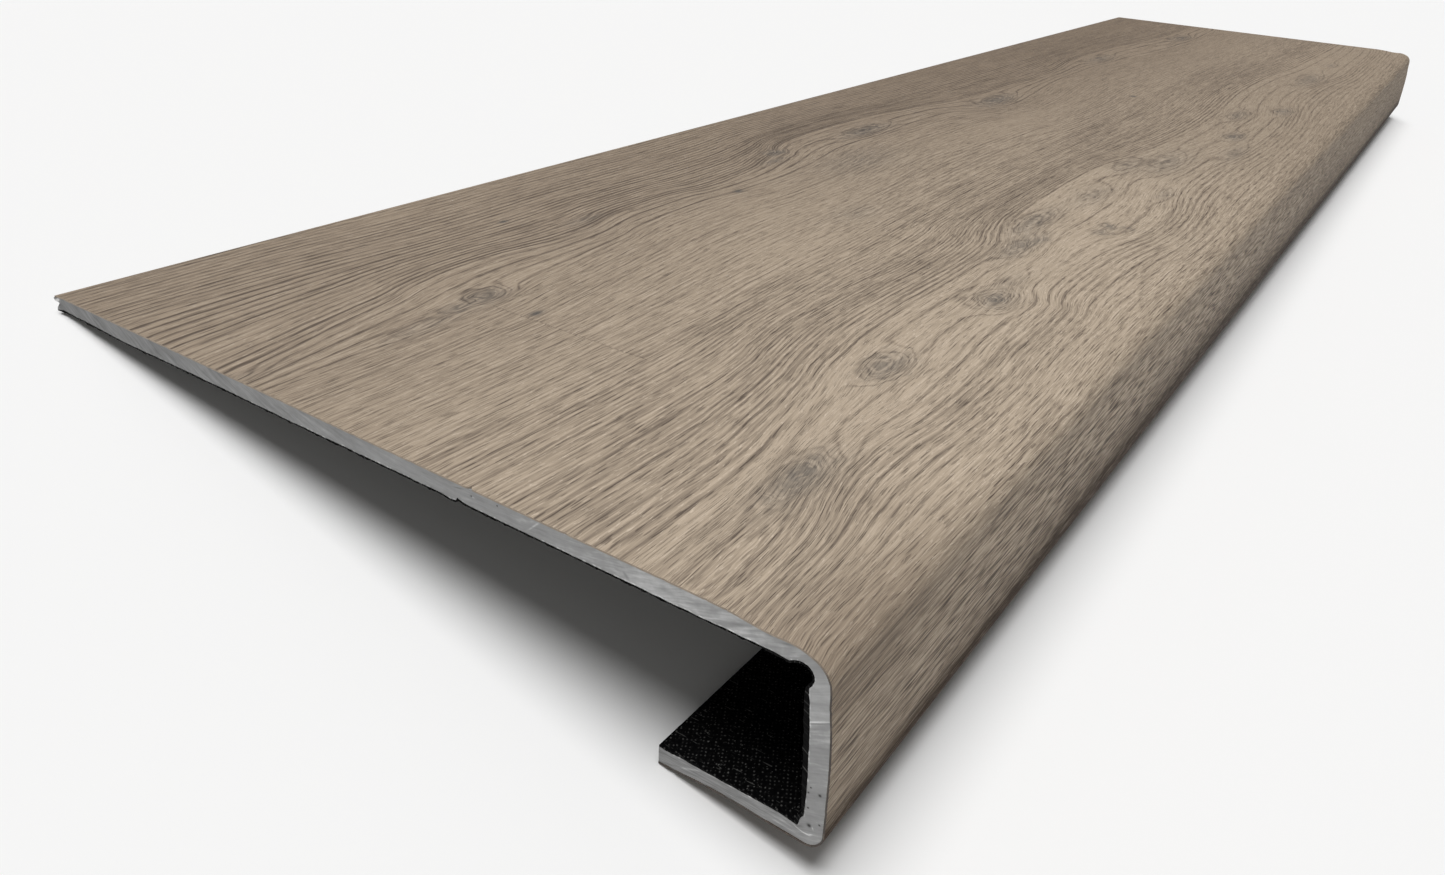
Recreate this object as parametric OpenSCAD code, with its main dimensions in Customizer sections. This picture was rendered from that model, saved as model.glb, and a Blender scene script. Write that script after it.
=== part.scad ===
/* [Tread] */
// Length of the tread, from cut end to cut end
tread_l = 1200; // [600:10:1800]
// Depth of the tread, from the front of the nose to the back edge
tread_d = 300; // [240:5:360]
// Height of the nosing, from the walking surface to the underside of the heel
nose_h = 55; // [36:0.5:80]
// Reach of the return flap, from the front of the nose
flap_l = 43.5; // [25:0.5:70]

/* [Layers] */
// Thickness of the wood-look wear layer
wear_t = 0.5; // [0.3:0.05:0.8]
// Thickness of the rigid vinyl core
core_t = 5; // [3.5:0.25:7]
// Thickness of the backing layer
backing_t = 0.5; // [0.3:0.05:1]

/* [Folds] */
// Outside radius of the nose
nose_r = 12; // [9:0.5:15]
// Outside radius of the heel, where the return folds back
heel_r = 5; // [3:0.5:8]
// How far the foot of the front leans out past the nose
front_lean = 3; // [0:0.25:4]
// How far the return's free edge hangs below the heel
flap_drop = 0.5; // [0:0.25:4]
// Radius of the relief milled into the core behind the nose, so that it can fold
relief_r = 3.5; // [2.5:0.1:4.5]
// How deep the relief cuts into the core
relief_depth = 1; // [0.5:0.1:1.4]
// Width of the glued fillet in the corner behind the heel
heel_glue_w = 2; // [1:0.25:4]
// Height of the glued fillet in the corner behind the heel
heel_glue_h = 3; // [1:0.25:5]

/* [Back edge] */
// How far the core's foot stands back from the upper edge
back_undercut = 1.3; // [0:0.1:3]
// How far the backing stands out past the core's foot
backing_proud = 0.5; // [0:0.1:1]

/* [Hidden] */
$fn = 96;

// Depths of the layers below the outer skin
core_top = wear_t;
core_foot = wear_t + core_t;
total_t = core_foot + backing_t;

// The section is drawn with the nose front at x = 0 and the walking surface at y = 0
nose_c = [nose_r, -nose_r];
heel_c = [heel_r - front_lean, heel_r - nose_h];
relief_c = [core_foot - relief_depth + relief_r, relief_depth - core_foot - relief_r];
// The front's lean for each millimetre of its height
lean_slope = front_lean / (nose_h - nose_r - heel_r);
// The return's drop for each millimetre of its reach past the heel
drop_slope = flap_drop / (flap_l - heel_c[0]);
// A reach past every part of the section, for the open sides of a cut
past = tread_d + nose_h;
split_y = -nose_h / 2;

// Unheld, the tread tips back onto its back edge and the rear edge of its flap
back_foot = [tread_d - back_undercut + backing_proud, -total_t];
flap_foot = [flap_l, -nose_h - flap_drop];
rest_tilt = atan((back_foot[1] - flap_foot[1]) / (back_foot[0] - flap_foot[0]));
// The tilted section's level box, which sets the origin below its middle
front_at = heel_c[0] * cos(rest_tilt) + heel_c[1] * sin(rest_tilt) - heel_r;
back_at = tread_d * cos(rest_tilt);
floor_at = flap_foot[1] * cos(rest_tilt) - flap_foot[0] * sin(rest_tilt);

// Where the front's face lies, at a depth below the skin and a height
function front_x(depth, y) = depth + lean_slope * (y + nose_r);

// Where the return's face lies, at a depth below the skin and a reach
function return_y(depth, x) = depth - nose_h - drop_slope * (x - heel_c[0]);

// Everything behind the outer skin, down to a depth below it
module behind_skin(depth) {
    polygon([
        [past, -depth],
        [nose_c[0], -depth],
        [depth, nose_c[1]],
        [front_x(depth, heel_c[1]), heel_c[1]],
        [heel_c[0], return_y(depth, heel_c[0])],
        [past, return_y(depth, past)]
    ]);
    translate(nose_c)
        circle(r = nose_r - depth);
    translate(heel_c)
        circle(r = heel_r - depth);
}

// The hollow of the hook, seen at a depth below the core's inner face
module hook_hollow(depth) {
    inner = core_foot + depth;
    glue_top = inner - nose_h + heel_glue_h;
    glue_back = front_x(inner, glue_top) + heel_glue_w;
    polygon([
        [past, -inner],
        [front_x(inner, -inner), -inner],
        [front_x(inner, glue_top), glue_top],
        [glue_back, return_y(inner, glue_back)],
        [past, return_y(inner, past)]
    ]);
    translate(relief_c)
        circle(r = relief_r - depth);
}

// Keeps the top as far as its back edge, which slopes from one depth to another
module within_edges(upper_end, lower_end) {
    polygon([
        [-past, past],
        [upper_end, past],
        [upper_end, -core_top],
        [lower_end, -core_foot],
        [lower_end, split_y],
        [flap_l, split_y],
        [flap_l, -past],
        [-past, -past]
    ]);
}

// Runs a section along the tread and lays it down as it comes to rest
module laid_down() {
    translate([0, -(front_at + back_at) / 2, -floor_at])
        rotate([-rest_tilt, 0, 0])
            rotate([90, 0, 90])
                translate([0, 0, -tread_l / 2])
                    linear_extrude(height = tread_l)
                        children();
}

// Rigid vinyl core: one sheet, folded at the nose and again at the heel
module vinyl_core() {
    color("darkgray")
        laid_down()
            intersection() {
                difference() {
                    behind_skin(core_top);
                    hook_hollow(0);
                }
                within_edges(tread_d, tread_d - back_undercut);
            }
}

// Wood-look wear layer over the whole outside, round both folds
module wood_wear_layer() {
    color("tan")
        laid_down()
            intersection() {
                difference() {
                    behind_skin(0);
                    behind_skin(core_top);
                }
                within_edges(tread_d, tread_d);
            }
}

// Backing layer that lines the hollow, relief and glued corner included
module backing_layer() {
    color("dimgray")
        laid_down()
            intersection() {
                difference() {
                    hook_hollow(0);
                    hook_hollow(backing_t);
                }
                within_edges(back_foot[0], back_foot[0]);
            }
}

vinyl_core();
wood_wear_layer();
backing_layer();
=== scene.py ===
"""A folded vinyl stair tread, seen from its sawn end: grey core, wood-look wear layer and black backing."""

import math

import bpy
import numpy as np
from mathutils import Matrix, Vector


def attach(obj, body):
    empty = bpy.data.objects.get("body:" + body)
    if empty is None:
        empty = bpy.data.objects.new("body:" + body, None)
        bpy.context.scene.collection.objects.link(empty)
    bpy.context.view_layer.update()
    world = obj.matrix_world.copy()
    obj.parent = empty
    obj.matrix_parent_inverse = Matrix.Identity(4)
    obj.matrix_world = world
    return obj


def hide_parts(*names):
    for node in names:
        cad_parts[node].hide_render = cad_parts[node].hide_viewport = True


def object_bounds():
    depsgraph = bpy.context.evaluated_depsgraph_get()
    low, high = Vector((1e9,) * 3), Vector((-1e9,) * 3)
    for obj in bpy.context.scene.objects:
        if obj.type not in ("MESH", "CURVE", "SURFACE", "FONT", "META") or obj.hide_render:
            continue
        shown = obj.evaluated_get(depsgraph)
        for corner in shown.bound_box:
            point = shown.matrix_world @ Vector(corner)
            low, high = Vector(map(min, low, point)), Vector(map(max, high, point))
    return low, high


bl_info = {
    "name": "Folded Stair Tread",
    "version": (1, 0, 0),
    "blender": (4, 5, 0),
    "location": "View3D > Sidebar > Stair Tread",
    "description": "Builds a laminated vinyl stair tread with a folded nosing, and its studio stage",
    "category": "Add Mesh",
}

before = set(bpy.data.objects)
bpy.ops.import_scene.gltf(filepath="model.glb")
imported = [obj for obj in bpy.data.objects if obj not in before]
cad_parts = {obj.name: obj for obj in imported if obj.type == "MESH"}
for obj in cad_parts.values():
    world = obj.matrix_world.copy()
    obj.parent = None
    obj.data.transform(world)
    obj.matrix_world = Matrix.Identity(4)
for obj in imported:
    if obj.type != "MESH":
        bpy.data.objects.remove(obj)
CAD_LOW, CAD_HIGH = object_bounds()

BODY = "root"
MM = 0.001
# Where the saw blade's centre lay, behind the nose and over the walking surface; its marks are arcs
SAW_AT = (110 * MM, 218 * MM)


def linear(*srgb):
    """A colour as it is seen, 0 to 255 a channel, as the linear colour that a material takes."""
    shares = [channel / 255 for channel in srgb]
    return tuple(s / 12.92 if s <= 0.04045 else ((s + 0.055) / 1.055) ** 2.4 for s in shares)


def number_property(name, description, default, **kind):
    """A number, of whatever kind."""
    return bpy.props.FloatProperty(name=name, description=description, default=default, **kind)


def length_property(name, description, default):
    """A size in metres."""
    return number_property(name, description, default, unit="LENGTH", precision=5)


def angle_property(name, description, degrees):
    """An angle."""
    return number_property(name, description, math.radians(degrees), subtype="ANGLE")


def share_property(name, description, default):
    """A share between 0 and 1."""
    return number_property(name, description, default, subtype="FACTOR", min=0, max=1)


def colour_property(name, description, *srgb):
    """A colour that can be picked."""
    return bpy.props.FloatVectorProperty(
        name=name, description=description, default=linear(*srgb), subtype="COLOR", size=3, min=0, max=1)


class TreadSizes(bpy.types.PropertyGroup):
    """The sheet and its folds."""

    depth: length_property("Depth", "From the front of the nose to the back edge", 300 * MM)
    nose_height: length_property("Nosing height", "From the top to the underside of the heel", 55 * MM)
    return_reach: length_property("Return reach", "From the front of the nose to its free edge", 43.5 * MM)
    wear: length_property("Wear layer", "Thickness of the wood-look wear layer", 0.5 * MM)
    core: length_property("Core", "Thickness of the rigid core", 5 * MM)
    backing: length_property("Backing", "Thickness of the backing", 0.5 * MM)
    nose_radius: length_property("Nose radius", "Outside radius of the nose", 12 * MM)
    heel_radius: length_property("Heel radius", "Outside radius of the heel", 5 * MM)
    front_lean: length_property("Front lean", "How far the front's foot leans out past the nose", 3 * MM)
    return_drop: length_property("Return drop", "How far its free edge hangs below the heel", 0.5 * MM)
    relief_radius: length_property("Relief radius", "Radius of the relief milled behind the nose", 3.5 * MM)
    relief_depth: length_property("Relief depth", "How deep that relief cuts into the core", 1 * MM)
    glue_width: length_property("Glue width", "Width of the glued fillet behind the heel", 2 * MM)
    glue_height: length_property("Glue height", "Height of the glued fillet behind the heel", 3 * MM)
    undercut: length_property("Back undercut", "How far the core's foot stands back from its top", 1.3 * MM)
    proud: length_property("Backing proud", "How far the backing stands out past the core's foot", 0.5 * MM)
    nose_sag: length_property("Nose sag", "How far the top sinks just behind the nose", 1.1 * MM)
    nose_swell: length_property("Nose swell", "How far the front swells below the nose", 0.38 * MM)
    nose_square: length_property("Nose square", "How far the nose stands out past its round", 1.05 * MM)
    front_bow: length_property("Front bow", "How far the front bows out between its folds", 0.75 * MM)


class WoodLook(bpy.types.PropertyGroup):
    """The printed and embossed oak, with its painted shade and painted shadow."""

    ground: colour_property("Ground", "The wood between its growth lines", 183, 167, 148)
    growth: colour_property("Growth line", "The dark side of a growth line", 101, 90, 81)
    # The pale print fibres, and the colour of the painted glints on them
    pale: colour_property("Pale fibre", "Raised fibres that catch the light", 214, 198, 179)
    knot: colour_property("Knot", "The middle of a knot", 86, 85, 84)
    # Painted shade: the colour that the print is darkened to towards the back edge, the far end and down the
    # front
    painted_shade: colour_property("Shade", "What the print darkens to at the back and the far end", 100, 85, 71)
    # Painted shadow: the colour that the print is darkened to at the foot of the front, where the floor's
    # shadow falls
    foot: colour_property("Foot", "What the print darkens to at the foot of the front", 60, 45, 32)
    edge: colour_property("Cut edge", "The wear layer where it is sawn", 60, 52, 46)
    growth_strength: share_property("Growth strength", "How dark the growth lines are", 0.88)
    emboss: length_property("Emboss", "Depth of the embossed grain", 0.22 * MM)
    roughness: share_property("Roughness", "Roughness of the clear coat", 0.5)


class CoreLook(bpy.types.PropertyGroup):
    """The sawn grey core."""

    ground: colour_property("Core", "The core where it is sawn", 151, 151, 151)
    streak: colour_property("Streak", "Light saw streaks and burrs", 222, 222, 222)
    dark: colour_property("Dark streak", "Dark saw streaks", 68, 68, 68)
    pit: colour_property("Pit", "Small pits", 30, 27, 24)
    saw_y: length_property("Saw centre, back", "How far behind the nose the blade's centre lay", SAW_AT[0])
    saw_z: length_property("Saw centre, height", "How high the blade's centre lay", SAW_AT[1])
    streak_pitch: length_property("Streak pitch", "Distance between two saw marks", 1.5 * MM)
    emboss: length_property("Emboss", "Depth of the saw marks", 0.1 * MM)


class BackingLook(bpy.types.PropertyGroup):
    """The black backing."""

    ground: colour_property("Backing", "The backing's black", 7, 7, 8)
    fleck: colour_property("Fleck", "Small light flecks", 98, 98, 96)
    dot_pitch: length_property("Dot pitch", "Distance between two embossed dots", 1.6 * MM)
    emboss: length_property("Emboss", "Depth of the embossed dots", 0.15 * MM)


class StageLook(bpy.types.PropertyGroup):
    """The camera, the floor and the lamps."""

    camera_place: bpy.props.FloatVectorProperty(
        name="Camera", description="Where the camera stands", default=(-0.75965, -0.18533, 0.21696),
        subtype="TRANSLATION", size=3, precision=5)
    camera_turn: bpy.props.FloatVectorProperty(
        name="Camera turn", description="How the camera is turned",
        default=[math.radians(turn) for turn in (55.3034, -12.0969, -54.5552)],
        subtype="EULER", size=3, precision=5)
    lens: number_property("Lens", "Focal length on a 36 mm wide picture", 27.05, unit="CAMERA")
    floor: colour_property("Floor", "The pale floor", 244, 244, 244)
    sky: number_property("Sky", "Strength of the light all round", 0.13)
    key: number_property("Key", "Strength of the light overhead", 2.77)
    key_spread: angle_property("Key spread", "How broad the light overhead is", 40)
    fill: number_property("Fill", "Strength of the light at the near end", 0.36)
    fill_spread: angle_property("Fill spread", "How broad the light at the near end is", 50)


def operation(name, turned=False):
    """A Math node as a method of a wire, with its two sides swapped where turned."""
    def apply(wire, other=0.0):
        first, second = (other, wire) if turned else (wire, other)
        return wire.finish.node("ShaderNodeMath", {"operation": name}, {0: first, 1: second})
    return apply


class Wire:
    """One number on its way through a material. An expression on wires adds its Math nodes."""

    def __init__(self, finish, socket):
        self.finish = finish
        self.socket = socket

    __add__ = operation("ADD")
    __radd__ = operation("ADD", turned=True)
    __sub__ = operation("SUBTRACT")
    __rsub__ = operation("SUBTRACT", turned=True)
    __mul__ = operation("MULTIPLY")
    __rmul__ = operation("MULTIPLY", turned=True)
    __truediv__ = operation("DIVIDE")
    __pow__ = operation("POWER")
    __abs__ = operation("ABSOLUTE")
    exp = operation("EXPONENT")
    root = operation("SQRT")
    floor = operation("FLOOR")
    sine = operation("SINE")
    # 1 where this wire is more than the other, else 0
    above = operation("GREATER_THAN")
    at_most = operation("MINIMUM")
    at_least = operation("MAXIMUM")

    def __neg__(self):
        return self * -1.0

    def clamped(self):
        return self.at_least(0.0).at_most(1.0)

    def curve(self, points):
        """A smooth line through given points, each a value of this wire and a height."""
        start, end = points[0][0], points[-1][0]
        low, high = min(height for _, height in points), max(height for _, height in points)
        inside = [((at - start) / (end - start), (height - low) / (high - low)) for at, height in points]
        level = self.finish.node(
            "ShaderNodeFloatCurve", {"curve": inside}, {"Value": (self - start) / (end - start)})
        return level * (high - low) + low

    def rise(self, low, high):
        """0 up to low, 1 from high on, and smooth between; falls instead where low is above high."""
        return self.finish.node(
            "ShaderNodeMapRange", {"interpolation_type": "SMOOTHSTEP"},
            {"Value": self, "From Min": low, "From Max": high, "To Min": 0.0, "To Max": 1.0})


class Finish:
    """A material that is being made."""

    def __init__(self, name):
        self.material = bpy.data.materials.new(name)
        self.material.use_nodes = True
        self.tree = self.material.node_tree
        self.tree.nodes.clear()

    def node(self, kind, settings=None, inputs=None, out=0):
        """Adds a node, with its settings first and then its sockets, and returns one of its outputs."""
        made = self.tree.nodes.new(kind)
        for name, value in (settings or {}).items():
            if name == "curve":
                line = made.mapping.curves[0].points
                line[0].location, line[1].location = value[0], value[-1]
                for place in value[1:-1]:
                    line.new(*place)
                made.mapping.update()
            else:
                setattr(made, name, value)
        for name, value in (inputs or {}).items():
            if isinstance(value, Wire):
                self.tree.links.new(value.socket, made.inputs[name])
            else:
                made.inputs[name].default_value = value
        return Wire(self, made.outputs[out])

    def split(self, vector):
        """The three numbers of a vector."""
        made = self.node("ShaderNodeSeparateXYZ", inputs={"Vector": vector})
        return [Wire(self, socket) for socket in made.socket.node.outputs]

    def mark(self, name):
        """The three numbers that a mesh keeps under a name."""
        return self.split(self.node(
            "ShaderNodeAttribute", {"attribute_type": "GEOMETRY", "attribute_name": name}, out="Vector"))

    def point(self, x, y, z=0.0):
        return self.node("ShaderNodeCombineXYZ", inputs={"X": x, "Y": y, "Z": z})

    def noise(self, x, y, seed, detail=0.0, roughness=0.5):
        """Smooth noise between 0 and 1 over two numbers."""
        return self.node(
            "ShaderNodeTexNoise", {"noise_dimensions": "3D"},
            {"Vector": self.point(x, y, float(seed)), "Scale": 1.0, "Detail": detail,
             "Roughness": roughness},
            out="Fac")

    def chance(self, number, seed):
        """A random number between 0 and 1 for each whole number."""
        return self.node("ShaderNodeTexWhiteNoise", {"noise_dimensions": "2D"},
                         {"Vector": self.point(number, float(seed))}, out="Value")

    def blend(self, share, first, second):
        """A colour between two colours."""
        return self.node(
            "ShaderNodeMix", {"data_type": "RGBA", "clamp_factor": True},
            {"Factor": share, 6: padded(first), 7: padded(second)}, out=2)

    def bump(self, height, distance):
        return self.node("ShaderNodeBump", inputs={"Height": height, "Distance": distance, "Strength": 1.0})

    def done(self, colour, roughness, normal=None, constants=None):
        """Closes the material with its surface."""
        inputs = {"Base Color": padded(colour), "Roughness": roughness}
        if normal:
            inputs["Normal"] = normal
        inputs.update(constants or {})
        shader = self.node("ShaderNodeBsdfPrincipled", inputs=inputs)
        output = self.tree.nodes.new("ShaderNodeOutputMaterial")
        self.tree.links.new(shader.socket, output.inputs["Surface"])
        return self.material


# A matt surface mirrors next to nothing of the pale floor, and the floor itself nothing at all
MATT = {"Specular IOR Level": 0.02}
DULL = {"Specular IOR Level": 0.0}


def padded(colour):
    """A colour with its alpha, or the wire as it is."""
    return colour if isinstance(colour, Wire) else (*colour, 1.0)


def spot(lengthways, crossways):
    """A soft spot of height 1, from two distances that are shares of its half length and half width."""
    return (-(lengthways * lengthways + crossways * crossways)).exp()


def ridge(distance):
    """A soft ridge of height 1, from a distance that is a share of its half width."""
    return (-(distance ** 2)).exp()


def arc(centre, radius, start, end, count=33):
    """Points on an arc, from one angle to another, in degrees."""
    angles = np.radians(np.linspace(start, end, count))
    return np.stack([centre[0] + radius * np.cos(angles), centre[1] + radius * np.sin(angles)], 1)


def spaced(points, count):
    """The same line in that many equal steps, without its last point."""
    points = np.asarray(points, float)
    run = np.concatenate([[0], np.cumsum(np.linalg.norm(np.diff(points, axis=0), axis=1))])
    at = np.linspace(0, run[-1], count + 1)[:-1]
    return np.stack([np.interp(at, run, points[:, 0]), np.interp(at, run, points[:, 1])], 1)


def bell(at, middle, width):
    """A smooth bump of height 1."""
    return np.exp(-((at - middle) / width) ** 2)


class Section:
    """The tread's section in its own level frame: y runs back from the nose, z up from the top."""

    # Steps along the top, the nose, the front, the heel and the return
    STEPS = (380, 28, 44, 16, 48)
    # How the bent sheet gave, outside the hook and inside it. The sag: its place, width and share
    SAG = ((15 * MM, 9 * MM, 1), (9.5 * MM, 3 * MM, 0.35))
    # The front's bow: its top, its foot and its share
    BOW = ((6 * MM, 52 * MM, 1), (2 * MM, 47 * MM, 0.7))
    # The nose's squareness: its shares, and then its middle and width in degrees
    SQUARE_SHARES = (1, 0.35)
    SQUARE = (147, 22)
    # The swell below the nose, which is only outside: its height and width
    SWELL = (-22 * MM, 13 * MM)

    def __init__(self, sizes):
        self.s = sizes
        self.core_foot = sizes.wear + sizes.core
        self.total = self.core_foot + sizes.backing
        self.nose_centre = (sizes.nose_radius, -sizes.nose_radius)
        self.heel_centre = (sizes.heel_radius - sizes.front_lean, sizes.heel_radius - sizes.nose_height)
        relief_at = self.core_foot - sizes.relief_depth + sizes.relief_radius
        self.relief_centre = (relief_at, -relief_at)
        self.lean = sizes.front_lean / (sizes.nose_height - sizes.nose_radius - sizes.heel_radius)
        self.drop = sizes.return_drop / (sizes.return_reach - self.heel_centre[0])
        self.back_foot = (sizes.depth - sizes.undercut + sizes.proud, -self.total)
        self.return_foot = (sizes.return_reach, -sizes.nose_height - sizes.return_drop)
        self.tilt = math.atan2(
            self.back_foot[1] - self.return_foot[1], self.back_foot[0] - self.return_foot[0])

    def front_y(self, depth, z):
        return depth + self.lean * (z + self.s.nose_radius)

    def return_z(self, depth, y):
        return depth - self.s.nose_height - self.drop * (y - self.heel_centre[0])

    def skin(self, depth, back):
        """The five stretches of the line that lies at a depth below the outer skin."""
        s = self.s
        nose = s.nose_radius - depth
        heel = s.heel_radius - depth
        side = (self.front_y(depth, self.heel_centre[1]), self.heel_centre[1])
        foot = (self.heel_centre[0], self.return_z(depth, self.heel_centre[0]))
        over = 1.5 * MM
        before_nose = (self.nose_centre[0] + over, -depth)
        after_nose = (self.front_y(depth, self.nose_centre[1] - over), self.nose_centre[1] - over)
        return [
            [(back, -depth), before_nose],
            [before_nose, *arc(self.nose_centre, nose, 90, 180), after_nose],
            [after_nose, side],
            [side, *arc(self.heel_centre, heel, 180, 270)[1:-1], foot],
            [foot, (s.return_reach, self.return_z(depth, s.return_reach))],
        ]

    def hollow(self, depth, back):
        """The five stretches of the line that lies at a depth below the core's inner face."""
        s = self.s
        inner = self.core_foot + depth
        relief = s.relief_radius - depth
        centre_y, centre_z = self.relief_centre
        reach = math.sqrt(relief ** 2 - (centre_y - inner) ** 2)
        before_nose = (centre_y + reach, -inner)
        # Where the relief meets the front's inner face, closer with each step
        meet = centre_z - reach
        for _ in range(4):
            meet = centre_z - math.sqrt(relief ** 2 - (centre_y - self.front_y(inner, meet)) ** 2)
        after_nose = (self.front_y(inner, meet), meet)
        opening = math.degrees(math.atan2(-inner - centre_z, reach))
        closing = 360 + math.degrees(math.atan2(meet - centre_z, after_nose[0] - centre_y))
        glue_top = inner - s.nose_height + s.glue_height
        side = (self.front_y(inner, glue_top), glue_top)
        glue_back = side[0] + s.glue_width
        foot = (glue_back, self.return_z(inner, glue_back))
        return [
            [(back, -inner), before_nose],
            arc(self.relief_centre, relief, opening, closing),
            [after_nose, side],
            [side, foot],
            [foot, (s.return_reach, self.return_z(inner, s.return_reach))],
        ]

    def line(self, stretches, inside=False):
        """The stretches as one line of points, as many on every layer, with the give of a bent sheet."""
        parts = [spaced(stretch, steps) for stretch, steps in zip(stretches, self.STEPS)]
        points = np.concatenate([*parts, [stretches[-1][-1]]])
        y, z = points[:, 0].copy(), points[:, 1].copy()
        sag_at, sag_width, sag_share = self.SAG[inside]
        high = np.clip((z + 20 * MM) / (12 * MM), 0, 1)
        points[:, 1] -= self.s.nose_sag * sag_share * bell(y, sag_at, sag_width) * high
        bow_top, bow_foot, bow_share = self.BOW[inside]
        down = np.clip((-z - bow_top) / (bow_foot - bow_top), 0, 1)
        near_front = np.clip((14 * MM - y) / (8 * MM), 0, 1)
        points[:, 0] -= self.s.front_bow * bow_share * np.sin(math.pi * down) * near_front
        if not inside:
            points[:, 0] -= self.s.nose_swell * bell(z, *self.SWELL) * near_front
        centre_y, centre_z = self.nose_centre
        angle = np.degrees(np.arctan2(z - centre_z, y - centre_y)) % 360
        out = self.s.nose_square * self.SQUARE_SHARES[inside] * bell(angle, *self.SQUARE)
        points[:, 0] += out * np.cos(np.radians(angle))
        points[:, 1] += out * np.sin(np.radians(angle))
        return points

    def run(self):
        """How far round the sheet each point of the outer skin lies: y on the top, less past the nose."""
        skin = self.line(self.skin(0, self.s.depth))
        gone = np.concatenate([[0], np.cumsum(np.linalg.norm(np.diff(skin, axis=0), axis=1))])
        return self.s.depth - gone

    def laid(self, points):
        """Places of the level frame as they lie at rest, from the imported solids' box."""
        cos, sin = math.cos(self.tilt), math.sin(self.tilt)
        floor = self.return_foot[1] * cos - self.return_foot[0] * sin
        middle = self.s.depth * cos - CAD_HIGH.y
        y = points[..., 1] * cos + points[..., 2] * sin - middle
        z = points[..., 2] * cos - points[..., 1] * sin - floor + CAD_LOW.z
        return np.stack([points[..., 0], y, z], -1)


class Rough:
    """Smooth seeded roughness along a line."""

    def __init__(self, seed):
        self.rng = np.random.default_rng(seed)

    def along(self, at, pitch):
        """Noise between -1 and 1 over positions, that turns about once in each pitch."""
        low = at.min()
        count = int((at.max() - low) / pitch) + 3
        knots = self.rng.uniform(-1, 1, count)
        share = (at - low) / pitch
        first = np.floor(share).astype(int)
        part = share - first
        part = part * part * (3 - 2 * part)
        return knots[first] * (1 - part) + knots[first + 1] * part


def near_ends(length):
    """Stations along the tread: close together behind each sawn end, and far apart between."""
    close = np.array([0, 0.12, 0.3, 0.6, 1, 1.6, 2.5, 4, 7, 12, 22, 36]) * MM
    between = np.linspace(close[-1], length - close[-1], 30)[1:-1]
    return np.concatenate([close, between, length - close[::-1]])


def lattice_skin(count):
    """The quads on the six sides of a block of count[0] by count[1] by count[2] cells, facing outwards."""
    index = np.arange((count[0] + 1) * (count[1] + 1) * (count[2] + 1))
    index = index.reshape(count[0] + 1, count[1] + 1, count[2] + 1)
    sides = []
    for axis in range(3):
        for end, at in enumerate((0, -1)):
            grid = np.take(index, at, axis=axis)
            quads = np.stack([grid[:-1, :-1], grid[1:, :-1], grid[1:, 1:], grid[:-1, 1:]], -1).reshape(-1, 4)
            flip = (axis + end) % 2 == 0
            sides.append(quads[:, ::-1] if flip else quads)
    return sides


def block(name, places, marks, materials, cap_material):
    """A closed piece over a lattice of places, with its marks, smooth where it isn't sharp."""
    shape = places.shape[:3]
    sides = lattice_skin([n - 1 for n in shape])
    # The lattice runs along the section, across the layer and along the tread
    slots = [cap_material, cap_material, 0, 0, cap_material, cap_material]
    used, faces = np.unique(np.concatenate(sides), return_inverse=True)
    faces = faces.reshape(-1, 4)
    mesh = bpy.data.meshes.new(name)
    mesh.from_pydata(places.reshape(-1, 3)[used].tolist(), [], faces.tolist())
    slot = np.concatenate([np.full(len(quads), s) for quads, s in zip(sides, slots)])
    for material in materials:
        mesh.materials.append(material)
    mesh.polygons.foreach_set("material_index", slot.astype(np.int32))
    for mark, values in marks.items():
        attribute = mesh.attributes.new(mark, "FLOAT_VECTOR", "POINT")
        attribute.data.foreach_set("vector", values.reshape(-1, 3)[used].astype(np.float32).ravel())
    mesh.shade_smooth()
    mesh.set_sharp_from_angle(angle=math.radians(38))
    mesh.update()
    piece = bpy.data.objects.new(name, mesh)
    bpy.context.scene.collection.objects.link(piece)
    return piece


def sweep(name, section, outer, inner, across, depths, relief, materials, cap_material=0):
    """Runs a layer between two lines of the section along the tread, with its relief at both ends."""
    length = CAD_HIGH.x - CAD_LOW.x
    stations = near_ends(length)
    share = np.linspace(0, 1, across + 1)
    flat = outer[:, None, :] * (1 - share)[None, :, None] + inner[:, None, :] * share[None, :, None]
    run = section.run()
    out = flat[:, :1, :] - flat[:, -1:, :]
    out = out / np.linalg.norm(out, axis=-1, keepdims=True)
    shape = (*flat.shape[:2], len(stations))
    places = np.zeros((*shape, 3))
    places[..., 0] = CAD_LOW.x + stations
    places[..., 1:] = flat[:, :, None, :]
    for end, behind in ((0, stations), (1, length - stations)):
        inward = 1 if end == 0 else -1
        recess, lift = (np.broadcast_to(part, shape[:2]) for part in relief(end, run[:, None], share, flat))
        places[..., 0] += inward * recess[:, :, None] * np.exp(-behind / (1.2 * MM))
        moved = (lift[:, :, None] * np.exp(-(behind / (1.8 * MM)) ** 2))[..., None] * out[:, :, None, :]
        places[..., 1:] += moved
    depth = depths[0] + (depths[1] - depths[0]) * share
    sheet = np.zeros((*shape, 3))
    sheet[..., 0] = stations / MM
    sheet[..., 1] = run[:, None, None] / MM
    sheet[..., 2] = depth[None, :, None] / MM
    level = places.copy() / MM
    level[..., 0] = stations / MM
    piece = block(name, section.laid(places), {"sheet": sheet, "level": level}, materials, cap_material)
    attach(piece, BODY)
    return piece


# Where the near end's damage lies, as places on the unrolled sheet
NICK_AT = 111.8 * MM
CHIP_AT = 104.8 * MM
HEEL_DIP_AT = -53.5 * MM
# The burr that hangs past the cut at the back corner
BURR_AT = 300.6 * MM
BURR_WIDTH = 1.8 * MM
# The return is thickest at the sawn end: where, over what width and by how much
FLARE_AT = -76 * MM
FLARE_WIDTH = 13 * MM
FLARE = 1.0 * MM
# How far the backing stands off the front's inner face at the sawn end
FRONT_GAP = 0.45 * MM
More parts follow.
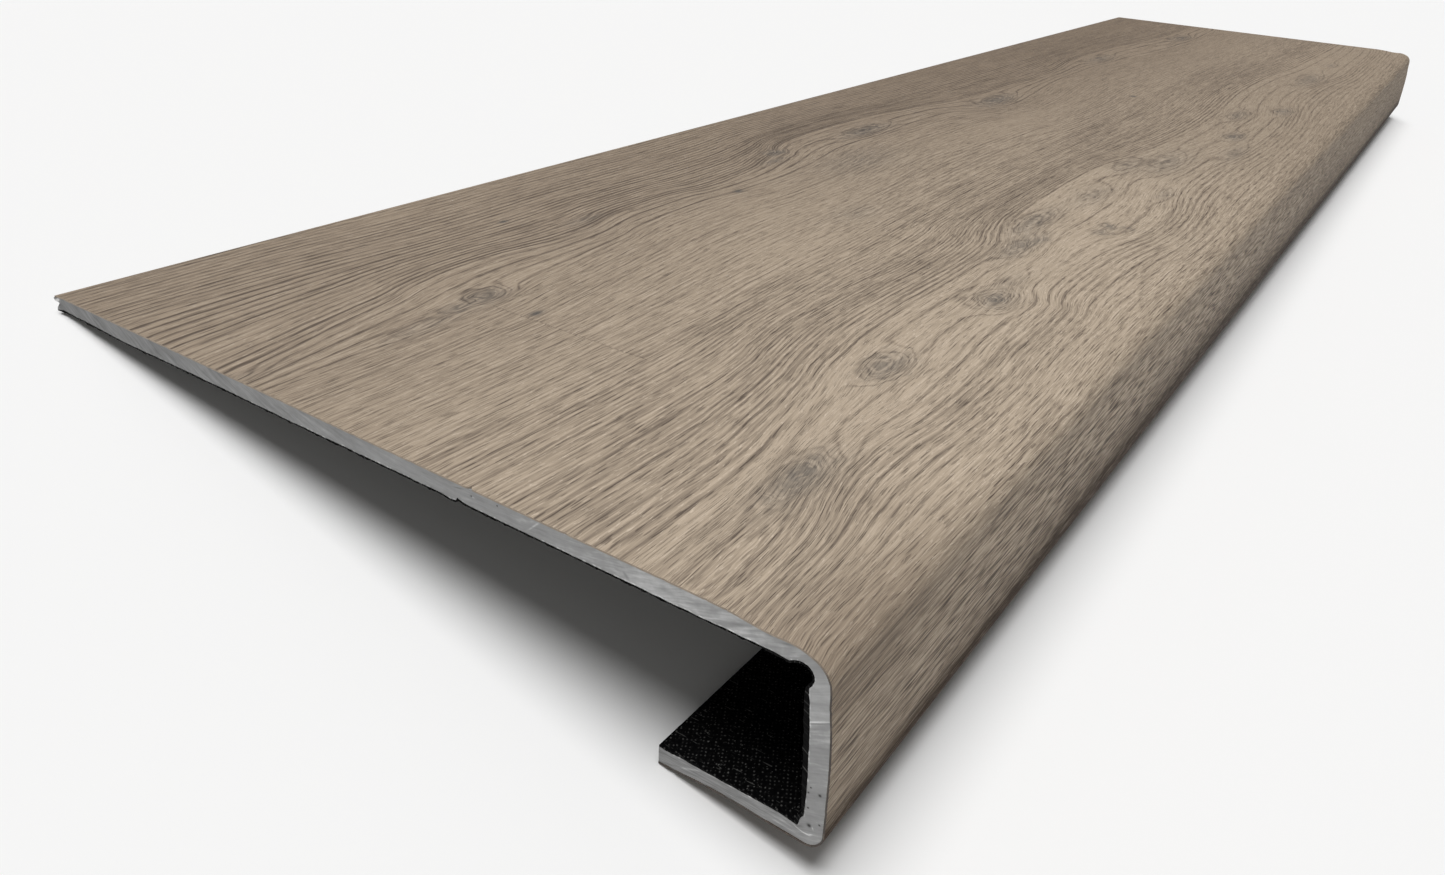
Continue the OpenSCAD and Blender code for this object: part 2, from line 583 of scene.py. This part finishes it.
# The saw stopped once on its way down the front: above this line the cut is lighter and plainer.
# The line's place behind the nose and its height, in millimetres, and its turn in degrees
SAW_STOP = (2.3, -18.5, -29.6)


def nick(run):
    """The nick in the sheet's underside: a sudden step up that runs out forwards, and a lobe behind it."""
    ahead = NICK_AT - run
    step = np.where(ahead > 0, 0.95 * MM * np.exp(-np.clip(ahead, 0, None) / (1.8 * MM)), 0)
    return step - 0.4 * MM * bell(run, NICK_AT + 2.4 * MM, 2.0 * MM) * (ahead <= 0)


def worn_back(run):
    """How much thinner the sheet is sawn towards its back edge, at the near end."""
    return np.clip((run - 268 * MM) * 0.031, 0, 1.05 * MM) - 0.22 * MM * bell(run, 256 * MM, 12 * MM)


def heel_dip(run):
    """How much deeper the inner corner behind the heel reaches, at the near end."""
    return 1.0 * MM * bell(run, HEEL_DIP_AT, 3.5 * MM)


def below_stop(flat):
    """How far each place of the section lies below the line where the saw stopped."""
    stop_y, stop_z, stop_turn = SAW_STOP
    slope = math.tan(math.radians(stop_turn))
    return (stop_z * MM + (flat[..., 0] - stop_y * MM) * slope) - flat[..., 1]


def on_front(run):
    """1 over the front, and 0 past its folds."""
    past_nose = np.clip((-run - 8 * MM) / (4 * MM), 0, 1)
    before_heel = np.clip((run + 46 * MM) / (8 * MM), 0, 1)
    return past_nose * before_heel


def core_relief(end, run, share, flat):
    """How far each place of the core's sawn end lies behind the cut, and how far it is lifted outwards."""
    rough = Rough(40 + end)
    y, z = flat[..., 0], flat[..., 1]
    saw = np.hypot(y - SAW_AT[0], z - SAW_AT[1])
    recess = 0.035 * MM * rough.along(saw, 1.1 * MM) + 0.05 * MM * rough.along(saw, 6 * MM)
    recess = recess + 0.05 * MM
    burr = 0.10 * MM * rough.along(run, 2.5 * MM) + 0.06 * MM * rough.along(run, 0.9 * MM)
    foot = share ** 4
    head = (1 - share) ** 6
    lift = -foot * burr + head * 0.03 * MM * rough.along(run, 3 * MM)
    if end == 0:
        # Below the line where the saw stopped the cut lies a step deeper
        recess = recess + 0.12 * MM * np.clip(below_stop(flat) / (0.8 * MM), 0, 1) * (y < 12 * MM)
        lift = lift + share ** 2 * nick(run)
        lift = lift + (1 - share) * -FLARE * bell(run, FLARE_AT, FLARE_WIDTH)
        lift = lift + share ** 3 * FRONT_GAP * on_front(run)
        # The burr hangs over a notch
        burred = bell(run, BURR_AT, BURR_WIDTH)
        recess = recess - 1.0 * MM * burred * (1 - 1.25 * bell(share, 0.55, 0.2))
        lift = lift + share * (worn_back(run) + heel_dip(run))
    return recess, lift


def wear_relief(end, run, share, flat):
    """The same for the wear layer, with tiny chips along the cut."""
    rough = Rough(50 + end)
    chips = np.clip(rough.along(run, 1.4 * MM) - 0.55, 0, 1) * 0.5 * MM
    recess = 0.02 * MM * rough.along(run, 3 * MM) + chips
    lift = 0.02 * MM * rough.along(run, 2 * MM)
    if end == 0:
        recess = recess + 0.9 * MM * bell(run, CHIP_AT, 0.6 * MM)
        recess = recess - 0.5 * MM * bell(run, BURR_AT, BURR_WIDTH)
        lift = lift - FLARE * bell(run, FLARE_AT, FLARE_WIDTH)
    return recess, lift


def backing_relief(end, run, share, flat):
    """The same for the backing, whose ragged edge hangs in small tatters below the core."""
    rough = Rough(60 + end)
    tatter = np.clip(rough.along(run, 1.7 * MM) + 0.5 * rough.along(run, 0.7 * MM), -0.6, 1.5)
    recess = -0.10 * MM * rough.along(run, 1.1 * MM) + 0.05 * MM
    lift = -share * 0.30 * MM * np.clip(tatter, 0, 2)
    if end == 0:
        lift = lift + nick(run) + worn_back(run) + heel_dip(run)
        lift = lift + on_front(run) * (FRONT_GAP - 1.0 * MM * share)
        recess = recess - 0.9 * MM * bell(run, BURR_AT, 2.4 * MM)
    return recess, lift


# Guide lines that the growth lines follow, as places along and behind the nose, in millimetres. Between the
# second and third and between the sixth and seventh run the bands that hold the knots.
GUIDES = (
    ((0, 5), (60, 7), (126, 6.5), (228, 9), (330, 8), (400, 7), (640, 8), (820, 10), (1010, 7), (1200, 8)),
    ((0, 24.6), (34, 27), (62, 34), (85, 36), (126, 33), (180, 36), (228, 38), (258, 44), (290, 43),
     (330, 38.5), (370, 34), (470, 44), (640, 34), (820, 47), (1010, 34), (1200, 41)),
    ((0, 54), (45, 55.5), (78, 60), (108, 66), (138, 72), (180, 75), (262, 74.5), (300, 82), (345, 90),
     (420, 92), (520, 81), (640, 75), (820, 82), (1010, 71), (1200, 66)),
    ((0, 96), (60, 95.5), (126, 101), (180, 105), (240, 104), (300, 109), (400, 111), (600, 106), (800, 111),
     (1000, 105), (1200, 101)),
    ((0, 126), (60, 126), (180, 130), (300, 133), (400, 136), (600, 130), (800, 134), (1200, 127)),
    ((0, 187), (60, 188), (126, 195), (180, 202), (240, 208), (300, 204), (360, 208), (430, 214), (520, 212),
     (600, 192), (740, 204), (860, 200), (1080, 186), (1200, 196)),
    ((0, 201), (20, 205), (45, 210.5), (70, 215), (92, 221), (117, 223.5), (144, 221), (168, 219),
     (210, 225), (245, 225), (272, 220.5), (300, 221.5), (330, 228), (354, 235.5), (400, 246), (520, 237),
     (600, 224), (740, 220), (860, 230), (1080, 216), (1200, 214)),
    ((0, 262), (60, 263), (140, 259), (220, 261), (300, 260), (400, 267), (600, 262), (860, 264),
     (1200, 260)),
)
FOOT_GUIDE = -100
BACK_GUIDE = 312
# Growth lines between two guides: how many at an even pace, how many more as they close up towards the
# second guide, and how dark they are printed
PACES = ((62, 0, 0.35), (6, 3, 0.7), (3, 0, 0.75), (9, 7, 0.95), (15, 0, 0.8), (26, 2, 0.45), (4, 0, 1.1),
         (17, -2, 1.35), (17, 0, 1.0))
# Each knot: place along and behind the nose, its length and width, its growth lines, and how dark it is
KNOTS = (
    (16, 36, 26, 7, 4.4, 0.0),
    (55, 42.5, 16, 6, 5.0, 0.8),
    (66, 44.5, 10, 4.5, 1.2, 0.5),
    (138, 58.5, 13, 6.5, 4.2, 0.9),
    (220, 54, 11, 7, 6.2, 0.75),
    (220.5, 54, 3.2, 2.4, 0.0, 0.9),
    (243, 57, 15, 4.5, 1.3, 0.35),
    (290, 71.5, 20, 5, 3.0, 0.9),
    (306, 67.5, 9, 2.2, 0.4, 0.7),
    (331, 80, 27, 5.5, 3.4, 0.8),
    (337, 50, 5, 3.6, 1.6, 0.9),
    (349.5, 51, 4.6, 3.4, 1.5, 1.0),
    (352, 43, 3, 4.5, 0.0, 0.6),
    (400, 74, 24, 6.5, 1.6, 0.5),
    (428, 46, 12, 3.5, 1.2, 0.5),
    (478, 80, 22, 6, 2.0, 0.5),
    (502, 64, 30, 9, 3.0, 0.6),
    (560, 39, 26, 5, 1.5, 0.55),
    (611, 50, 13, 5.5, 3.0, 1.0),
    (690, 64, 22, 6, 2.4, 0.6),
    (734, 42, 16, 6, 3.0, 0.8),
    (912, 52, 36, 8, 3.6, 0.7),
    (1022, 50, 14, 4, 1.2, 0.5),
    (1, 201, 9, 3, 1.0, 0.3),
    (62, 190.5, 17, 3.6, 1.4, 0.45),
    (80, 194.5, 5, 2.6, 1.2, 0.9),
    (95.5, 195.5, 9, 6, 4.2, 0.85),
    (188, 229.5, 10, 3.2, 0.8, 0.55),
    (282, 148, 17, 9, 0.0, 0.35),
    (335.5, 225.5, 11, 2.4, 0.8, 0.8),
    (351.5, 235, 8, 4.4, 1.6, 1.1),
    (372, 194, 38, 17, 0.0, 0.45),
    (440, 226, 26, 7, 4.0, 0.9),
    (600, 207, 26, 8, 5.0, 1.0),
    (860, 215, 26, 7, 4.0, 0.7),
    (1080, 200, 24, 7, 4.0, 0.8),
)
# Where two prints meet near the end: a seam across the grain, from one place behind the nose to another
SEAM_AT = 90.3
SEAM_FROM, SEAM_TO = 119, 187
# Small pin knots: along, behind the nose and radius
PINS = (
    (95.5, 171.5, 1.7),
    (161, 252, 1.4),
    (273, 207, 1.9),
    (700, 140, 2.0),
)


class Print:
    """The oak's growth lines, counted from the heel to the back edge and bent round the knots."""

    def __init__(self, wood, along, back):
        self.noise = wood.noise
        self.chance = wood.chance
        # Growth lines passed on the way back, and how many there are in a millimetre
        self.rings = 0.0
        self.density = 0.02
        # Where a fibre would lie if the guides were straight
        self.fibres = float(FOOT_GUIDE)
        # How dark the growth lines are, and how much a knot greys the wood
        self.darkness = 0.0
        self.smudge = 0.0
        self.follow_guides(along, back)
        self.add_knots(along, back)

    def follow_guides(self, along, back):
        """Spreads the growth lines between the guides."""
        wobble = (self.noise(along / 110, back / 40, 2) - 0.5) * 1.8
        ripple = (self.noise(along / 16, back / 5, 3, 1.0) - 0.5) * 0.6
        place = back + wobble + ripple
        middles = [sum(height for _, height in points) / len(points) for points in GUIDES]
        guides = [FOOT_GUIDE, *(along.curve(points) for points in GUIDES), BACK_GUIDE]
        means = [FOOT_GUIDE, *middles, BACK_GUIDE]
        for below, over, mean_below, mean_over, pace in zip(guides, guides[1:], means, means[1:], PACES):
            even, closing, weight = pace
            span = over - below
            share = ((place - below) / span).clamped()
            inside = share.above(0.0) * (1 - share.above(0.9999))
            self.fibres = share * (mean_over - mean_below) + self.fibres
            self.rings = share * even + share * share * closing + self.rings
            self.density = (share * (2 * closing) + even) / span * inside + self.density
            self.darkness = inside * weight + self.darkness

    def add_knots(self, along, back):
        """Bends the growth lines and fibres round each knot, and smudges its middle."""
        bent_along = along + (self.noise(along / 12, back / 5, 14, 1.0) - 0.5) * 8
        bent_back = back + (self.noise(along / 9, back / 4, 15, 1.0) - 0.5) * 3
        self.curl_along = bent_along + (self.noise(along / 6, back / 3, 17, 1.0) - 0.5) * 12
        self.curl_back = bent_back + (self.noise(along / 5, back / 2.5, 18, 1.0) - 0.5) * 5
        for knot_along, knot_back, long, wide, lines, darkness in KNOTS:
            if lines:
                off = (bent_back - knot_back) / wide
                close = spot((bent_along - knot_along) / long, off)
                self.rings = self.rings + close * lines
                self.density = self.density + abs(off) * close * (2 * lines / wide)
                self.fibres = self.fibres - off * close * (wide * 0.45)
                self.darkness = self.darkness * (1 - close * 0.35)
            if darkness:
                smudge = spot((self.curl_along - knot_along) / long, (self.curl_back - knot_back) / wide)
                self.smudge = self.smudge + smudge * darkness

    def growth_lines(self, along, back):
        """The growth lines, as dark as each is by luck and by patches."""
        ring = self.rings.floor()
        off_line = abs(self.rings - ring - 0.5) / self.density
        # Beside the first knot, up to the sawn end, the growth lines are broad and soft
        soft = back.rise(28, 42) * back.rise(100, 70) * along.rise(80, 40)
        width = 0.38 + self.noise(along / 50, self.rings / 3, 13) * 0.46 + soft * 0.5
        luck = self.chance(ring, 7)
        patch = self.noise(along / 38, self.rings / 1.5, 8, 1.0)
        line = ridge(off_line / width) * (0.5 + luck * 0.5) * (0.45 + patch.rise(0.25, 0.60) * 0.55)
        return line * self.darkness * (1 - soft * 0.25)


def painted_wood_shade(along, back):
    """Painted shade: how far the print is darkened towards the back, the far end, down the front and at the
    cut nose, and painted shadow at the foot of the front.
    """
    # Painted shade towards the back, down the front, towards the far end and at the cut nose
    painted_shade = back.rise(20, 300) * 0.42 + back.rise(14, -20) * 0.1 + along.rise(60, 800) * 0.2 + 0.02
    painted_shade = painted_shade + back.rise(30, 2) * back.rise(-26, -2) * along.rise(100, 10) * 0.34
    painted_shade = (painted_shade + back.rise(120, 50) * back.rise(-8, 12) * along.rise(320, 640) * 0.12).at_most(1.0)
    off_cut = along.rise(0, 220)
    # Painted shadow at the foot of the front, darkest along the heel where it meets the floor
    foot = back.rise(-18, -46) * (0.26 + off_cut * along.rise(900, 350) * 0.45 + off_cut * 0.15)
    foot = (foot + back.rise(-36, -47) * 0.8).at_most(1.0)
    return painted_shade, foot


def wood_finish(look):
    """Oak print: growth lines, knots, fibres and pores, with an emboss that follows them, painted glints,
    and painted shade and shadow.
    """
    wood = Finish("oak_print_and_painted_light")
    along, back, _ = wood.mark("sheet")
    oak = Print(wood, along, back)
    line = oak.growth_lines(along, back)
    # Past the seam another print begins, with its own fibres
    near_seam = back.rise(SEAM_FROM - 1, SEAM_FROM + 1) * back.rise(SEAM_TO + 1, SEAM_TO - 1)
    past_seam = along + (wood.noise(back / 9, 0.0, 16) - 0.5) * 1.4 - SEAM_AT
    seam = ridge(past_seam / 0.45) * near_seam
    shifted = along + past_seam.above(0.0) * near_seam * 57
    fibre = wood.noise(shifted / 17, oak.fibres / 0.52, 4, 2.0, 0.6)
    strand = wood.noise(shifted / 36, oak.fibres / 1.5, 5, 2.0)
    hair = wood.noise(shifted / 11, oak.fibres / 0.4, 12, 1.0, 0.6) - 0.5
    pores = wood.noise(shifted / 7, oak.fibres / 0.5, 6).rise(0.60, 0.70)
    # Painted highlights: short glints on the embossed fibres, painted into the colour as well as raised in
    # the emboss
    painted_glint = wood.noise(shifted / 3.2, oak.fibres / 0.6, 9, 1.0).rise(0.58, 0.70)
    tone = wood.noise(along / 160, back / 40, 10, 1.0)
    # The front's fibres and those of the back board stand out more
    bold = 1 + back.rise(12, -12) * 0.7 + back.rise(165, 205) * 0.25
    grain = ((fibre - 0.5) * 1.5 + (strand - 0.5) * 1.1) * bold + hair * (0.7 + back.rise(30, -5) * 0.9)
    # Down the front the fibres lie coarser
    coarse = wood.noise(along / 12, back / 0.75, 19, 1.0, 0.6).rise(0.36, 0.64) - 0.5
    coarse = coarse * back.rise(6, -14) * (0.6 + along.rise(0, 180) * 0.7)
    grain = grain + coarse * (0.35 + along.rise(800, 300) * 0.65)
    # The curls of a knot follow its growth lines
    streaks = wood.noise(oak.curl_along / 8, oak.rings * 1.5 + oak.curl_back / 3, 11, 1.0, 0.6)
    curls = (oak.smudge * streaks.rise(0.50, 0.34)).at_most(1.0)
    smudge = (oak.smudge * (streaks.rise(0.36, 0.58) * 0.55 + 0.45)).at_most(1.0)
    pins = 0.0
    for pin_along, pin_back, radius in PINS:
        pins = pins + spot((along - pin_along) / (radius * 1.7), (back - pin_back) / radius)
    # The ground, the growth lines and the pale fibres darken with the painted shade, and with the painted
    # shadow at the foot of the front
    painted_shade, foot = painted_wood_shade(along, back)
    ground = wood.blend(foot, wood.blend(painted_shade, look.ground, look.painted_shade), look.foot)
    growth = wood.blend(foot * 0.8, look.growth, look.foot)
    fibre_light = wood.blend(foot * 0.75, wood.blend(painted_shade, look.pale, look.painted_shade), look.foot)
    dark = line * look.growth_strength + pores * 0.35 - grain + (0.5 - tone) * 0.5 + seam * 0.25
    # Pale print fibres, lightened further by the painted glints
    pale = grain * 1.15 + painted_glint * 0.6 - line * 0.7
    colour = wood.blend(dark.clamped(), ground, growth)
    colour = wood.blend(pale.clamped(), colour, fibre_light)
    colour = wood.blend(curls * 0.28, colour, look.pale)
    colour = wood.blend(smudge * 0.64, colour, look.knot)
    colour = wood.blend(pins.at_most(1.0) * 0.85, colour, look.knot)
    raised = fibre * 0.5 + strand * 0.35 + hair * 0.35 + painted_glint * 0.3
    sunk = line * 0.6 + pores * 0.5 + pins * 0.5
    roughness = look.roughness + (fibre - 0.5) * 0.16 + line * 0.08
    return wood.done(colour, roughness, wood.bump(raised - sunk, look.emboss), MATT)


def wear_edge_finish(look):
    """The wear layer where it is sawn through: a thin brown-grey line."""
    edge = Finish("wear_layer_cut_edge")
    along, back, depth = edge.mark("sheet")
    smear = edge.noise(back / 2.2, along / 1.5 + depth * 2, 21, 2.0)
    # It hardly shows along the top, and is a dark line from the nose down
    colour = edge.blend(back.rise(-6, 10) * 0.6 + smear.rise(0.45, 0.9) * 0.4, look.edge, look.ground)
    return edge.done(colour, 0.6 + (smear - 0.5) * 0.2, edge.bump(smear, 0.05 * MM))


# Pits on the near end of the core, in the level frame: behind the nose, height and radius, in millimetres
PITS = (
    (-0.6, -38.3, 0.36),
    (1.8, -37.3, 0.2),
    (2.3, -39.1, 0.22),
    (1.9, -43.6, 0.22),
    (-1.4, -46.9, 0.24),
    (1.1, -48.6, 0.5),
    (104.2, -2.1, 0.2),
    (95.2, -1.4, 0.22),
)
# Strokes on the near end of the core: behind the nose, height, half length and half width in
# millimetres, turn in degrees, and how light the stroke is, below 0 for a dark one
STROKES = (
    # Along the saw's stop: a painted highlight on the edge of the step, and painted shade just below it
    (2.35, -18.4, 4.0, 0.2, -29.6, 0.8),
    (2.1, -18.85, 4.0, 0.16, -29.6, -0.5),
    (4.5, -51.0, 0.8, 0.18, 25, 0.9),
    (3.2, -51.45, 0.9, 0.18, 12, 0.9),
    (1.7, -51.6, 1.0, 0.2, 0, 1.0),
    (0.5, -51.2, 0.6, 0.2, -34, 0.8),
    (3.2, -50.2, 1.0, 0.5, -30, -0.6),
    (0.15, -48.95, 0.6, 0.16, 65, 0.9),
    (83.2, -2.5, 2.6, 0.25, -44, 0.7),
    (34.2, -51.8, 3.6, 0.3, -24, 0.9),
    (29.5, -50.3, 2.2, 0.25, -12, 0.5),
    (11.0, -1.9, 1.8, 0.3, -14, -0.8),
    (14.8, -1.5, 1.6, 0.3, -12, -0.7),
    (24.0, -3.0, 2.6, 0.4, -20, -0.5),
    (54.5, -4.0, 1.1, 0.4, 40, -0.6),
    (108.8, -1.5, 2.0, 0.22, -12, -0.8),
    (103.6, -2.3, 0.5, 0.25, 0, 0.8),
    # A painted highlight: the bright spot under the burr at the back corner
    (299.0, -1.4, 1.2, 0.6, -30, 3.0),
)


def core_tone(back, near, y, z):
    """How light the cut is from place to place, how plain above the saw's stop and how dark below it."""
    tone = back.rise(12, 30) * back.rise(130, 60) * 0.16 - back.rise(20, 110) * 0.3
    tone = tone - back.rise(120, 270) * 0.52 - back.rise(-24, -40) * 0.18 - back.rise(-40, -70) * 0.22
    stop_y, stop_z, stop_turn = SAW_STOP
    over_stop = z - stop_z - (y - stop_y) * math.tan(math.radians(stop_turn))
    front = back.rise(8, -4)
    plain = over_stop.rise(-0.3, 0.3) * front
    under = over_stop.rise(-4, -0.2) * (1 - plain) * front * near
    return tone, plain * near, under


def core_strokes(y, z):
    """The single light and dark strokes on the near end, among them painted highlights and painted shade."""
    light = 0.0
    for at_y, at_z, long, wide, turn, strength in STROKES:
        cos, sin = math.cos(math.radians(turn)), math.sin(math.radians(turn))
        lengthways = ((y - at_y) * cos + (z - at_z) * sin) / long
        crossways = ((z - at_z) * cos - (y - at_y) * sin) / wide
        light = light + spot(lengthways, crossways) * strength
    return light


def core_finish(look):
    """Grey core: saw streaks on arcs round the blade's centre, mottling, strokes with some painted
    highlights and shade, pits and light rims.
    """
    core = Finish("rigid_vinyl_core")
    along, back, depth = core.mark("sheet")
    _, y, z = core.mark("level")
    near = along.rise(1.5, 0.5)
    right = y - look.saw_y / MM
    up = z - look.saw_z / MM
    radius = (right * right + up * up).root()
    pitch = look.streak_pitch / MM
    bent = (core.noise(y / 7, z / 5, 36, 1.0) - 0.5) * 2.2
    streak = core.noise((radius + bent) / pitch, right / 13, 31, 2.0, 0.6)
    scratch = core.noise(radius / (pitch * 0.28), right / 7, 32, 1.0)
    mottle = core.noise(y / 3.2, z / 2.4, 33, 3.0, 0.6)
    cloud = core.noise(y / 17, z / 8 + along / 14, 34, 1.0)
    rim = depth.rise(4.95, 5.45) * core.noise(back / 1.6, 0.0, 35, 1.0).rise(0.42, 0.66)
    # On the return the streaks run lengthwise
    on_return = back.rise(-48, -58)
    lengthwise = core.noise(back / 9, depth / 0.55, 37, 2.0, 0.6) - 0.5
    tone, plain, under = core_tone(back, near, y, z)
    light = (streak - 0.5) * (1.3 + back.rise(110, 200) * 0.8) + (scratch - 0.5) * 0.5
    light = light + (mottle - 0.5) * 0.8 + (cloud - 0.5) * 0.9 + rim * 0.9 + tone
    light = light * (1 - plain * 0.5) + plain * 0.12 - under * 0.2
    light = light + core_strokes(y, z) * near + on_return * (lengthwise * 2.4 - 0.1)
    pits = 0.0
    for pit_y, pit_z, pit_radius in PITS:
        pits = pits + spot((y - pit_y) / pit_radius, (z - pit_z) / pit_radius)
    pits = pits * near
    colour = core.blend(light.clamped(), look.ground, look.streak)
    dark = (-light).at_least(0.0) * 0.55
    colour = core.blend(dark.at_most(1.0), colour, look.dark)
    colour = core.blend((pits * 1.2).at_most(1.0), colour, look.pit)
    height = streak * 0.5 + scratch * 0.3 + mottle * 0.25 - pits * 2.0
    return core.done(colour, 0.55 + (mottle - 0.5) * 0.2, core.bump(height, look.emboss))


def backing_finish(look):
    """Near-black backing with an embossed grid of dots, light flecks and short scratches."""
    backing = Finish("black_backing")
    along, back, _ = backing.mark("sheet")
    turn = math.tau / (look.dot_pitch / MM)
    # The dots stand in slanting rows
    first = ((along * 0.94 + back * 0.34) * turn).sine()
    second = ((back * 0.94 - along * 0.2) * turn).sine()
    dots = (first * second).rise(0.2, 0.9) * backing.noise(along / 1.5, back / 1.2, 44).rise(0.42, 0.68)
    # Short pale scratches lie across the rows
    scratch = backing.noise(along / 0.5, back / 5, 45).rise(0.74, 0.80)
    fuzz = backing.noise(along / 0.9, back / 0.9, 41, 2.0)
    fleck = backing.noise(along / 0.8, back / 0.5, 42).rise(0.76, 0.82)
    haze = backing.noise(along / 40, back / 25, 43, 1.0)
    sawn = along.rise(0.12, 0.02)
    light = dots * 0.55 + fleck * 0.9 + scratch * 0.5 + sawn * 0.03
    light = light + (fuzz - 0.5) * 0.16 + (haze - 0.5) * 0.08
    colour = backing.blend(light.clamped(), look.ground, look.fleck)
    height = dots * 0.7 + fuzz * 0.4
    return backing.done(colour, 0.62 + (fuzz - 0.5) * 0.2, backing.bump(height, look.emboss), MATT)


class TREAD_OT_add_core(bpy.types.Operator):
    """Add the grey core, folded at the nose and at the heel, with its sawn ends"""

    bl_idname = "stair_tread.add_core"
    bl_label = "Add Vinyl Core"

    def execute(self, context):
        s = context.scene.tread_sizes
        section = Section(s)
        outer = section.line(section.skin(s.wear, s.depth))
        inner = section.line(section.hollow(0, s.depth - s.undercut), inside=True)
        depths = (s.wear, section.core_foot)
        finishes = [core_finish(context.scene.tread_core)]
        piece = sweep("vinyl_core_sheet", section, outer, inner, 12, depths, core_relief, finishes)
        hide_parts("vinyl_core")
        return {"FINISHED"}


class TREAD_OT_add_wear_layer(bpy.types.Operator):
    """Add the wood-look wear layer over the outside"""

    bl_idname = "stair_tread.add_wear_layer"
    bl_label = "Add Wear Layer"

    def execute(self, context):
        s = context.scene.tread_sizes
        section = Section(s)
        outer = section.line(section.skin(0, s.depth))
        inner = section.line(section.skin(s.wear, s.depth))
        depths = (0, s.wear)
        look = context.scene.tread_wood
        finishes = [wood_finish(look), wear_edge_finish(look)]
        piece = sweep("wood_wear_sheet", section, outer, inner, 2, depths, wear_relief, finishes, 1)
        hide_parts("wood_wear_layer")
        return {"FINISHED"}


class TREAD_OT_add_backing(bpy.types.Operator):
    """Add the black backing inside the hook, with its ragged sawn edge"""

    bl_idname = "stair_tread.add_backing"
    bl_label = "Add Backing"

    def execute(self, context):
        s = context.scene.tread_sizes
        section = Section(s)
        back = section.back_foot[0]
        outer = section.line(section.hollow(0, back), inside=True)
        inner = section.line(section.hollow(s.backing, back), inside=True)
        depths = (section.core_foot, section.total)
        finishes = [backing_finish(context.scene.tread_backing)]
        piece = sweep("backing_sheet", section, outer, inner, 2, depths, backing_relief, finishes)
        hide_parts("backing_layer")
        return {"FINISHED"}


class TREAD_OT_add_stage(bpy.types.Operator):
    """Add the camera, the pale floor, the sky and the soft lamps"""

    bl_idname = "stair_tread.add_stage"
    bl_label = "Add Stage"

    def execute(self, context):
        scene = context.scene
        look = scene.tread_stage
        camera = bpy.data.objects.new("camera", bpy.data.cameras.new("camera"))
        camera.location = look.camera_place
        camera.rotation_euler = look.camera_turn
        camera.data.lens = look.lens
        camera.data.sensor_width = 36
        camera.data.clip_start = 0.005
        scene.collection.objects.link(camera)
        scene.camera = camera
        scene.view_settings.view_transform = "Standard"
        self.add_floor(scene, look)
        self.add_sky(scene, look)
        warm = (1, 0.985, 0.94)
        self.add_light(scene, "overhead_light", (-0.12, 0.22, 1), look.key, look.key_spread, (1, 1, 1))
        self.add_light(scene, "near_end_light", (-1, -0.2, 0.35), look.fill, look.fill_spread, warm)
        return {"FINISHED"}

    def add_floor(self, scene, look):
        """A wide level floor, just under the tread."""
        reach = 30
        gap = 0.2 * MM
        mesh = bpy.data.meshes.new("floor")
        corners = [(-reach, -reach, 0), (reach, -reach, 0), (reach, reach, 0), (-reach, reach, 0)]
        mesh.from_pydata(corners, [], [(0, 1, 2, 3)])
        finish = Finish("pale_floor")
        mesh.materials.append(finish.done(look.floor, 0.9, constants=DULL))
        floor = bpy.data.objects.new("floor", mesh)
        floor.location.z = CAD_LOW.z - gap
        scene.collection.objects.link(floor)

    def add_sky(self, scene, look):
        """A plain white sky all round."""
        world = bpy.data.worlds.new("studio_sky")
        scene.world = world
        world.use_nodes = True
        background = world.node_tree.nodes["Background"]
        background.inputs["Color"].default_value = (1, 0.995, 0.98, 1)
        background.inputs["Strength"].default_value = look.sky

    def add_light(self, scene, name, towards, strength, spread, colour):
        """A broad light that comes evenly from one side."""
        data = bpy.data.lights.new(name, "SUN")
        data.color = colour
        data.energy = strength
        data.angle = spread
        light = bpy.data.objects.new(name, data)
        light.rotation_euler = Vector(towards).to_track_quat("Z", "Y").to_euler()
        light.location = (0, 0, 2)
        scene.collection.objects.link(light)


class TREAD_PT_panel(bpy.types.Panel):
    """The tread's pieces and its stage"""

    bl_label = "Stair Tread"
    bl_idname = "TREAD_PT_panel"
    bl_space_type = "VIEW_3D"
    bl_region_type = "UI"
    bl_category = "Stair Tread"

    def draw(self, context):
        for operator in OPERATORS:
            self.layout.operator(operator.bl_idname)


LOOKS = {
    "tread_sizes": TreadSizes,
    "tread_wood": WoodLook,
    "tread_core": CoreLook,
    "tread_backing": BackingLook,
    "tread_stage": StageLook,
}
OPERATORS = (TREAD_OT_add_stage, TREAD_OT_add_core, TREAD_OT_add_wear_layer, TREAD_OT_add_backing)


def register():
    for look in LOOKS.values():
        bpy.utils.register_class(look)
    for name, look in LOOKS.items():
        setattr(bpy.types.Scene, name, bpy.props.PointerProperty(type=look))
    for operator in OPERATORS:
        bpy.utils.register_class(operator)
    bpy.utils.register_class(TREAD_PT_panel)


def unregister():
    bpy.utils.unregister_class(TREAD_PT_panel)
    for operator in reversed(OPERATORS):
        bpy.utils.unregister_class(operator)
    for name in LOOKS:
        delattr(bpy.types.Scene, name)
    for look in reversed(LOOKS.values()):
        bpy.utils.unregister_class(look)


def main():
    register()
    bpy.ops.stair_tread.add_stage()
    bpy.ops.stair_tread.add_core()
    bpy.ops.stair_tread.add_wear_layer()
    bpy.ops.stair_tread.add_backing()


if __name__ == "__main__":
    main()
